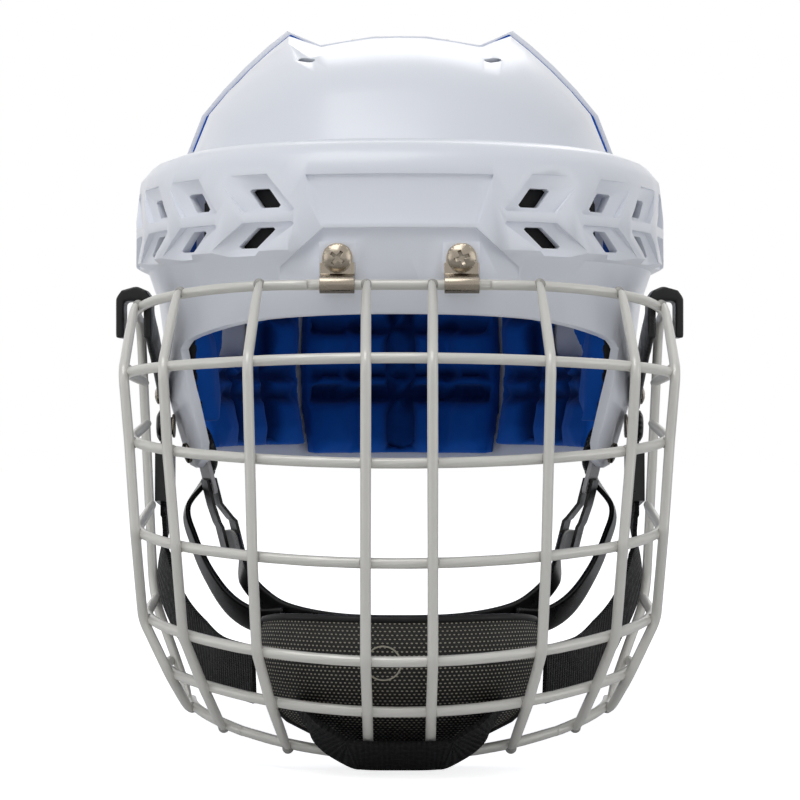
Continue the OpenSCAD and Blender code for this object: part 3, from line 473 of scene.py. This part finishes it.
joined_screws = {}
for name in ("top_clip_screws", "side_clip_screws", "size_screws"):
    joined = copied(name)
    joined_screws[name] = joined.data
    bpy.data.objects.remove(joined)
print("screws:", [len(islands(mesh)) for mesh in joined_screws.values()])

# %% Cut the cross recesses
def cut_out(piece, name, tool):
    """Cuts one object out of another and removes it."""
    alone(piece)
    modified(piece, "BOOLEAN", name, object=tool, solver="EXACT")
    bpy.data.objects.remove(tool)


def recessed(name, axis_at, arm_mm, deep_mm, turns):
    """Pan screws with a cross cut in each head. axis_at gives the way out from a place, and
    turns holds each screw's own turn in degrees, from -X to +X."""
    piece = copied(name)
    without_flat_edges()
    screws = sorted(islands(joined_screws[name]), key=lambda group: sum(v.x for v in group) / len(group))
    for group, first_turn in zip(screws, turns):
        middle = sum(group, Vector()) / len(group)
        axis = Vector(axis_at(middle)).normalized()
        high = max(v.dot(axis) for v in group)
        ring = [v for v in group if v.dot(axis) > high - 0.05 * MM]
        top = sum(ring, Vector()) / len(ring)
        for turn in (first_turn, first_turn + 90):
            bpy.ops.mesh.primitive_cube_add(size=1)
            blade = bpy.context.object
            blade.data.transform(
                Matrix.Translation(top) @ axis.to_track_quat("Z", "Y").to_matrix().to_4x4()
                @ Matrix.Rotation(math.radians(turn), 4, "Z")
                @ Matrix.Diagonal((arm_mm * 2 * MM, arm_mm * 0.45 * MM, deep_mm * 2 * MM, 1)))
            cut_out(piece, "recess", blade)
    print(name, "recesses cut,", len(piece.data.polygons), "faces")
    return stands_for(piece, name, nickel, 30)


def sideways(place):
    """The way out of a screw on the helmet's side."""
    return (math.copysign(1, place.x), 0, 0)


def outward(place):
    """Side screws point sideways, crown screws up and a little outwards."""
    crown_from = 90 * MM
    if place.z < crown_from:
        return sideways(place)
    lean = math.copysign(math.radians(4), place.x)
    return (math.sin(lean), 0, math.cos(lean))


recessed("top_clip_screws", lambda place: (0, -1, 0), 2.7, 1.5, (53, 20))
recessed("side_clip_screws", sideways, 2.0, 1.0, (53, 20))
recessed("size_screws", outward, 2.7, 1.5, (20, 53, 119, 86))

# %% [markdown]
# The hooks over the cage's side bars are moulded nylon. Their solid has square
# corners, so it is built anew on an even grid and smoothed, which gives the soft
# rounds of a moulding. Nuts, studs and rivets only need a small round on each edge.

# %% Black hooks
def softened(piece, grid_mm, passes):
    """Rebuilds an object on an even grid and smooths it, as a mould's rounds or soft foam are."""
    modified(piece, "REMESH", "even_grid", mode="VOXEL", voxel_size=grid_mm * MM)
    modified(piece, "SMOOTH", "soft_edges", factor=0.6, iterations=passes)


for name in ("side_clip_left", "side_clip_right"):
    hook = copied(name)
    softened(hook, 0.6, 9)
    stands_for(hook, name, black_nylon)
    print(hook.name, len(hook.data.polygons), "faces")

# %% Nuts, studs and rivets
for name in ("top_clip_nuts", "size_nuts", "ear_rivets", "snap_studs"):
    fastener = dressed(name, nickel, 35, 0.2)
    print(fastener.name, len(fastener.data.polygons), "faces")

# %% [markdown]
# ## The liner
# The pads are moulded foam under a brushed knit, pressed into blocks with channels
# between them. The shape is set by a mould and holds itself, so it isn't a sewn,
# air-filled cushion: the solid is remeshed, softened, and its inner face is pressed
# in along the channels and crowned between them by moving its points.

# %% Channels in the foam
def pressed(place, upright, level, width_mm):
    """How far the nearest channel presses the foam: 1 in its middle, 0 away from it. Upright
    channels are given by their angle round the head, level ones by their height in mm."""
    round_the_head = math.degrees(math.atan2(place.x, place.y))
    reach = Vector((place.x, place.y)).length
    near = [abs(round_the_head - angle) * math.pi / 180 * reach for angle in upright]
    near += [abs(place.z - height * MM) for height in level]
    return max([math.exp(-(gap / (width_mm * MM)) ** 2) for gap in near] + [0.0])


def way_in(place, down):
    """The way from a pad towards the head: level, or down for the crown's pad."""
    return Vector((0, 0, -1)) if down else Vector((-place.x, -place.y, 0)).normalized()

# %% Foam pads
crowned_mm, full_shade_mm = 0.6, 5
back_from = -0.35


def foam(name, upright, level, deep_mm=5.6, width_mm=3.6, down=False, windows=()):
    """A quilted pad for its solid, with a black back; windows are open places in it."""
    piece = copied(name)
    for place, size in windows:
        bpy.ops.mesh.primitive_cube_add(size=1, location=Vector(place) * MM)
        opening = bpy.context.object
        opening.scale = Vector(size) * MM
        cut_out(piece, "window", opening)
    softened(piece, 1.5, 5)
    normals = [v.normal.copy() for v in piece.data.vertices]
    channel_shades = []
    for v, normal in zip(piece.data.vertices, normals):
        facing = max(0.0, normal.dot(way_in(v.co, down)))
        press = pressed(v.co, upright, level, width_mm)
        v.co += normal * facing * (crowned_mm - (deep_mm + crowned_mm) * press) * MM
        # painted shade in the channels, stronger where the channel is pressed deeper
        channel_shades.append(press * facing * min(1.0, deep_mm / full_shade_mm))
    piece.data.attributes.new("channel_shade", "FLOAT", "POINT").data.foreach_set("value", channel_shades)
    stands_for(piece, name, foam_blue)
    piece.data.materials.append(backing_black)
    for face in piece.data.polygons:
        if face.normal.dot(way_in(face.center, down)) < back_from:
            face.material_index = 1
    print(piece.name, len(piece.data.polygons), "faces")


foam("rear_pad_centre", [-1.5, 1.5], [34, 12, 3])
for side, name in ((-1, "rear_pad_left"), (1, "rear_pad_right")):
    foam(name, [side * 32, side * 45], [38, 12, 3], windows=[((side * 76, 76, 26.5), (52, 44, 15))])
foam("forehead_pad", [-165, -155, 155, 165, 180, -180], [50])
foam("temple_pad_left", [-114.5], [], deep_mm=2.5)
foam("temple_pad_right", [114.5], [], deep_mm=2.5)
foam("crown_pad", [-90, 90, 0, 180], [], down=True)

# %% [markdown]
# A thin blue strip under the rear shell's front lip is a painted shadow of the gap between the two shells,
# and shows as a fine blue line over the crown. The strip is cut out of the lip's own inner face, so it
# follows the crests, and is moved 1 mm forward.

# %% Blue strip under the lip, a painted shadow of the gap
gap_shadow_strip = copied("rear_shell")
gap_shadow_strip.name = "gap_shadow_strip"
backwards, upwards = (0, 1, 0), (0, 0, 1)
front_cut, back_cut, lower_cut = (0, -1.4 * MM, 0), (0, 1.5 * MM, 0), (0, 0, 100 * MM)
for place, way, keeps_far in ((front_cut, backwards, True), (back_cut, backwards, False),
                              (lower_cut, upwards, True)):
    edited(lambda: bpy.ops.mesh.bisect(plane_co=place, plane_no=way,
                                       clear_inner=keeps_far, clear_outer=not keeps_far))
head_middle, least_depth = Vector((0, 5, 50)) * MM, 10 * MM
shape = bmesh.new()
shape.from_mesh(gap_shadow_strip.data)
outer = [f for f in shape.faces if f.normal.dot(f.calc_center_median() - head_middle) > -least_depth]
bmesh.ops.delete(shape, geom=outer, context="FACES")
shape.to_mesh(gap_shadow_strip.data)
shape.free()
gap_shadow_strip.data.transform(Matrix.Translation((0, -1 * MM, 0)))
# the blue sheet that paints the gap's shadow gets its thickness here
modified(gap_shadow_strip, "SOLIDIFY", "foam", thickness=1.9 * MM, offset=0.1)
bpy.ops.object.shade_smooth_by_angle(angle=math.radians(40))
gap_shadow_strip.data.materials.clear()
gap_shadow_strip.data.materials.append(foam_blue)
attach(gap_shadow_strip, body_of("rear_shell"))
print("lip strip", len(gap_shadow_strip.data.polygons), "faces")

# %% [markdown]
# ## Straps
# The cage's straps are woven polyester with ribs across them, and the helmet's own
# are smooth. Each is laid through the same stations as its solid: a place, and the
# way across the web. The centre sheet carries UVs in metres, so that the ribs follow
# every bend, and gets its thickness afterwards.

# %% Ribbed webbing finish
def ribbed(name, base, rib_mm, depth_mm):
    """Woven webbing with ribs across its length, from UVs in metres."""
    yarn_mm, yarn_depth, fuzz_scale, rough = 0.8, 0.3, 700.0, 0.62
    made = new_material(name)
    uv = node(made, "UVMap", {"uv_map": "length"})
    split = node(made, "SeparateXYZ", Vector=uv.outputs[0])
    waves = []
    for axis, pitch_mm in (("X", rib_mm), ("Y", yarn_mm)):
        turns = math_node(made, "MULTIPLY", split.outputs[axis], 2 * math.pi / (pitch_mm * MM))
        waves.append(math_node(made, "SINE", turns))
    rib, yarn = waves
    relief = math_node(made, "MULTIPLY_ADD", yarn, yarn_depth, rib)
    bump = node(made, "Bump", Strength=1.0, Distance=depth_mm * MM, Height=relief)
    # painted shade: the grooves between the ribs are coloured darker, down to a third of the base colour
    shade = remapped(made, rib, -1.0, 1.0, 0.0, 1.0)
    tint = blended(made, shade, scaled(base, 0.35), colour(base))
    where = node(made, "TexCoord").outputs["Object"]
    fuzz = node(made, "TexNoise", Vector=where, Scale=fuzz_scale, Detail=3.0)
    fuzzy = remapped(made, fuzz.outputs["Fac"], 0.3, 0.7, rough - 0.1, rough + 0.1)
    shader = node(made, "BsdfPrincipled", Base_Color=tint, Roughness=fuzzy, Normal=bump.outputs[0],
                  Specular_IOR_Level=0.2)
    print("finish:", name, rib_mm, "mm ribs")
    return finish_with(made, shader)


web_black = ribbed("woven_polyester_black", "#0e0e0f", 1.7, 0.45)

# %% A smooth curve through points
def smooth(a, b, c, d, t):
    """The value between b and c, at t from 0 to 1, on a smooth curve that passes all four."""
    return 0.5 * (2 * b + (c - a) * t + (2 * a - 5 * b + 4 * c - d) * t ** 2
                  + (3 * b - a - 3 * c + d) * t ** 3)


def along_curve(stations):
    """Places and ways across on a smooth curve through the stations."""
    per_span = 8
    points = [Vector(p) * MM for p, _ in stations]
    ways = [Vector(w).normalized() for _, w in stations]
    padded = [points[0], *points, points[-1]]
    out = []
    for i in range(len(points) - 1):
        for k in range(per_span):
            t = k / per_span
            out.append((smooth(*padded[i:i + 4], t), ways[i].lerp(ways[i + 1], t).normalized()))
    return out + [(points[-1], ways[-1])]


def mirrored(stations):
    """The same stations on the other side, in the opposite order."""
    return [((-p[0], p[1], p[2]), (-w[0], w[1], w[2])) for p, w in reversed(stations)]

# %% A sheet of points
def quads(columns, rows, flipped=False):
    """The faces of a sheet of points, where a row is columns + 1 points."""
    found = []
    for row in range(rows):
        for column in range(columns):
            here = row * (columns + 1) + column
            above = here + columns + 1
            if flipped:
                found.append((here, above, above + 1, here + 1))
            else:
                found.append((here, here + 1, above + 1, above))
    return found


def sheet(name, verts, faces, uvs):
    """An object of a sheet of points, with UVs in metres."""
    mesh = bpy.data.meshes.new(name)
    mesh.from_pydata(verts, [], faces)
    layer = mesh.uv_layers.new(name="length")
    for loop in mesh.loops:
        layer.data[loop.index].uv = uvs[loop.vertex_index]
    return placed(name, mesh)

# %% A strap through its stations
def web(name, stations, width_mm, thick_mm, material, side=1, round_mm=0.3):
    """A strap through its stations, which takes the place of a node; side -1 mirrors it."""
    line = [(Vector((p.x * side, p.y, p.z)), Vector((w.x * side, w.y, w.z)))
            for p, w in along_curve(stations)]
    across = 6
    verts, uvs, run = [], [], 0.0
    for i, (place, way) in enumerate(line):
        ahead = (line[min(i + 1, len(line) - 1)][0] - line[max(i - 1, 0)][0]).normalized()
        way = (way - ahead * way.dot(ahead)).normalized()
        run += (place - line[i - 1][0]).length if i else 0
        for j in range(across + 1):
            sideways_by = (j / across - 0.5) * width_mm * MM
            verts.append(place + way * sideways_by)
            uvs.append((run, sideways_by))
    piece = sheet(name + "_web", verts, quads(across, len(line) - 1), uvs)
    modified(piece, "SOLIDIFY", "thickness", thickness=thick_mm * MM, offset=0)
    modified(piece, "BEVEL", "soft_selvedge", width=round_mm * MM, segments=2,
             limit_method="ANGLE", angle_limit=math.radians(50))
    edited(lambda: bpy.ops.mesh.normals_make_consistent(inside=False))
    print(piece.name, round(run / MM), "mm long")
    return stands_for(piece, name, material, 50)

# %% Cage straps, from the side snaps down to the chin cup
hang = (0, 0.98, -0.14)
cage_strap = [((90.36, -40.2, -4.2), hang), ((90.2, -42.4, -20), hang), ((90.0, -44.9, -38), hang),
              ((89.95, -45.5, -42.2), hang), ((89.9, -46, -46), hang),
              ((89.8, -47.6, -49.8), (0.06, 0.95, -0.21)), ((89.4, -54, -65), (0.3, 0.82, -0.48)),
              ((80.5, -77, -80), (0.22, 0.72, -0.62)), ((71.1, -97, -89), (0.22, 0.46, -0.84)),
              ((62, -117, -93), (0.05, 0.25, -0.95)), ((49.8, -136.8, -94), (0, 0.1, -1))]
for side, name in ((-1, "cage_strap_left"), (1, "cage_strap_right")):
    web(name, cage_strap, 20, 1.6, web_black, side)

# %% Sling that ties the cup to the lowest bar
sling = [((34.6, -150.4, -101.6), (0.3, -0.58, 0.76)), ((27.5, -152.8, -110.5), (0.25, -0.66, 0.7)),
         ((19, -151.6, -117.6), (0.15, -0.74, 0.66)), ((13, -153.3, -119), (0.03, -0.76, 0.65)),
         ((0, -153.6, -119.2), (0, -0.76, 0.65))]
web("cup_loop", sling + mirrored(sling[:-1]), 16, 1.6, web_black)

# %% Smooth straps of the helmet itself
chin = [((68.6, -25.5, -54.9), (-0.23, 0.09, -0.97)), ((62.0, -42.2, -54.9), (-0.23, 0.09, -0.97)),
        ((58, -69, -65), (0.35, 0.45, -0.7)), ((50, -81, -73), (0.35, 0.5, -0.75)),
        ((40, -93, -77.5), (0.3, 0.35, -0.88)), ((22, -103, -80), (0.12, 0.25, -0.95)),
        ((0, -106, -80.5), (0, 0.2, -1))]
web("chin_strap", chin + mirrored(chin[:-1]), 8, 1.6, strap_gloss, round_mm=0.5)
jaw = [((77.1, -27.8, -16.7), (0.37, 0.93, 0)), ((74.5, -27.3, -28.4), (0.37, 0.93, 0)),
       ((82.5, -34, -42), (0.2, 0.93, -0.3)), ((79, -44, -54), (0.2, 0.85, -0.45)),
       ((72, -58, -66), (0.2, 0.75, -0.6)), ((63, -71, -76), (0.3, 0.6, -0.6)),
       ((52.5, -84, -80.5), (0.35, 0.5, -0.7)), ((41.6, -94.2, -79.4), (0.3, 0.35, -0.88))]
for side, name in ((-1, "jaw_strap_left"), (1, "jaw_strap_right")):
    web(name, jaw, 9, 2, strap_gloss, side, round_mm=0.6)

# %% [markdown]
# ## The chin cup
# The cup is moulded foam under an embossed skin: rows of small raised ovals, their tops painted paler as a
# highlight, with a plain round seat for a badge, which stays bare.
# It follows the solid's own curve, is thickened inwards, and gets a rolled rim. The
# ovals are a bump in the finish, spaced 1.6 mm along the cup and 1.4 mm up it.

# %% Embossed skin
cup_half_arc = 65.5 * MM
seat_place, seat_radius = (cup_half_arc - 5.3 * MM, 41.5 * MM, 0), 5.8 * MM
ring_foot, ring_top, raised = 0.6 * MM, 0.2 * MM, 0.6 * MM


def embossed(name, base, tops, along_mm, up_mm):
    """Black skin with staggered raised ovals, a painted highlight on their tops, and a ring for the badge
    seat.
    """
    made = new_material(name)
    uv = node(made, "UVMap", {"uv_map": "length"})
    split = node(made, "SeparateXYZ", Vector=uv.outputs[0])
    row = math_node(made, "DIVIDE", split.outputs["Y"], up_mm * MM)
    odd = math_node(made, "PINGPONG", math_node(made, "FLOOR", row), 1.0)
    column = math_node(made, "DIVIDE", split.outputs["X"], along_mm * MM)
    staggered = math_node(made, "ADD", column, math_node(made, "MULTIPLY", odd, 0.5))
    parts = []
    for value, squash in ((staggered, 2.2), (row, 2.9)):
        off_middle = math_node(made, "SUBTRACT", math_node(made, "FRACT", value), 0.5)
        wide = math_node(made, "ABSOLUTE", math_node(made, "MULTIPLY", off_middle, squash))
        parts.append(math_node(made, "POWER", wide, 2.0))
    oval = remapped(made, math_node(made, "ADD", *parts), 1.0, 0.0, 0.0, 1.0, "SMOOTHSTEP")
    from_seat = node(made, "VectorMath", {"operation": "DISTANCE"}, i0=uv.outputs[0], i1=seat_place)
    off_ring = math_node(made, "SUBTRACT", from_seat.outputs["Value"], seat_radius)
    ring = remapped(made, math_node(made, "ABSOLUTE", off_ring), ring_foot, ring_top, 0.0, 1.0)
    height = math_node(made, "MAXIMUM", oval, ring)
    bump = node(made, "Bump", Strength=1.0, Distance=raised, Height=height)
    # painted highlight: the tops of the ovals and the badge ring are coloured paler
    painted_highlight = remapped(made, height, 0.6, 1.0, 0.0, 1.0, "SMOOTHSTEP")
    tint = blended(made, painted_highlight, colour(base), colour(tops))
    gloss = remapped(made, height, 0.0, 1.0, 0.6, 0.2)
    shader = node(made, "BsdfPrincipled", Base_Color=tint, Roughness=gloss, Normal=bump.outputs[0],
                  Specular_IOR_Level=0.35)
    print("finish:", name, along_mm, "x", up_mm, "mm ovals")
    return finish_with(made, shader)


# the second colour is the painted highlight on the tops of the ovals
cup_skin = embossed("embossed_foam_skin_black", "#0f0e0b", "#a8a392", 1.6, 1.4)

# %% The cup's curve
# Each row: how far it stands out at the middle, how far down it is, how far it wraps round.
cup_rows = [(162, 0, 0.9), (166.5, -8, 1), (166, -16, 0.97), (160.5, -26, 0.86), (151, -35, 0.66),
            (141, -42, 0.36)]
cup_width, cup_height, cup_bow, cup_half_angle, cup_top = 98, 45, 40, math.radians(74), -73
drawn_height, narrowing_at_ends = -cup_rows[-1][1], 0.1
last_row = len(cup_rows) - 1


def through(s):
    """A smooth curve through the cup's rows, at s from 0 at its top edge to last_row at its foot."""
    k = min(last_row - 1, int(s))
    rows = [Vector(cup_rows[min(last_row, max(0, k + step))]) for step in (-1, 0, 1, 2)]
    return smooth(*rows, s - k)


def cup_place(u, s, grow=0.0):
    """A point of the cup's skin, u from -1 at its left end to 1 at its right end."""
    out, down, wrap = through(s)
    t = u * cup_half_angle * wrap
    radius = cup_width / 2 / math.sin(cup_half_angle) + grow
    drawn_in = 1 - narrowing_at_ends * abs(u) ** 5
    up = down * cup_height / drawn_height + cup_height / 2
    return Vector((radius * math.sin(t), -out - grow + (cup_bow + grow) * (1 - math.cos(t)),
                   cup_top - cup_height / 2 + up * drawn_in)) * MM


print("cup's middle, at its top:", [round(c / MM, 1) for c in cup_place(0, 0)], "mm")

# %% Cup
columns, rows = 96, 30
ends = [i / columns * 2 - 1 for i in range(columns + 1)]
levels = [j / rows * last_row for j in range(rows + 1)]
drop = [0.0]
for above, below in zip(levels, levels[1:]):
    drop.append(drop[-1] + (cup_place(0, below) - cup_place(0, above)).length)
cup = sheet("chin_cup_skin", [cup_place(u, s) for s in levels for u in ends],
            quads(columns, rows, flipped=True),
            [(cup_half_arc * (1 + u * through(s)[2]), drop[-1] - fall)
             for s, fall in zip(levels, drop) for u in ends])
modified(cup, "SOLIDIFY", "wall", thickness=2.5 * MM, offset=-1)
modified(cup, "BEVEL", "soft_edge", width=0.9 * MM, segments=3,
         limit_method="ANGLE", angle_limit=math.radians(50))
stands_for(cup, "chin_cup", cup_skin, 50)
print("cup skin:", round(drop[-1] / MM), "mm from top to foot")

# %% Rolled rim round the cup
inset, steps, side_steps = -0.8, 40, 10
top_edge = [cup_place(i / steps * 2 - 1, 0, inset) for i in range(steps + 1)]
right_edge = [cup_place(1, j / side_steps * last_row, inset) for j in range(1, side_steps)]
foot_edge = [cup_place(1 - i / steps * 2, last_row, inset) for i in range(steps + 1)]
left_edge = [cup_place(-1, last_row - j / side_steps * last_row, inset) for j in range(1, side_steps)]
rim_line = top_edge + right_edge + foot_edge + left_edge
curve = bpy.data.curves.new("cup_rim", "CURVE")
curve.dimensions = "3D"
curve.bevel_depth, curve.bevel_resolution = 1.5 * MM, 3
spline = curve.splines.new("POLY")
spline.points.add(len(rim_line) - 1)
for point, place in zip(spline.points, rim_line):
    point.co = (*place, 1)
spline.use_cyclic_u = True
rim = placed("cup_rim", curve)
bpy.ops.object.convert(target="MESH")
bpy.ops.object.shade_smooth()
rim.data.materials.clear()
rim.data.materials.append(rim_black)
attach(rim, "cage")
print("cup rim", len(rim.data.polygons), "faces")

# %% Soft lining of the cup
lining = copied("chin_cup_liner")
softened(lining, 1.2, 5)
stands_for(lining, "chin_cup_liner", foam_black)
print("cup lining", len(lining.data.polygons), "faces")

# %% [markdown]
# ## The small moulded parts
# The ear rings, tabs and loops, the snap caps and the ladder sliders have the right
# shape already. They are small injection mouldings, so a smooth skin is enough.

# %% Rings, tabs, loops, caps and sliders
small_finish = {"webbing": black_nylon, "buckle_plastic": black_nylon, "tab_plastic": grey_tab}
for name, thing in frame["nodes"].items():
    if not thing.hide_render:
        dressed(name, small_finish[slots[name]], 40)
        print(name)
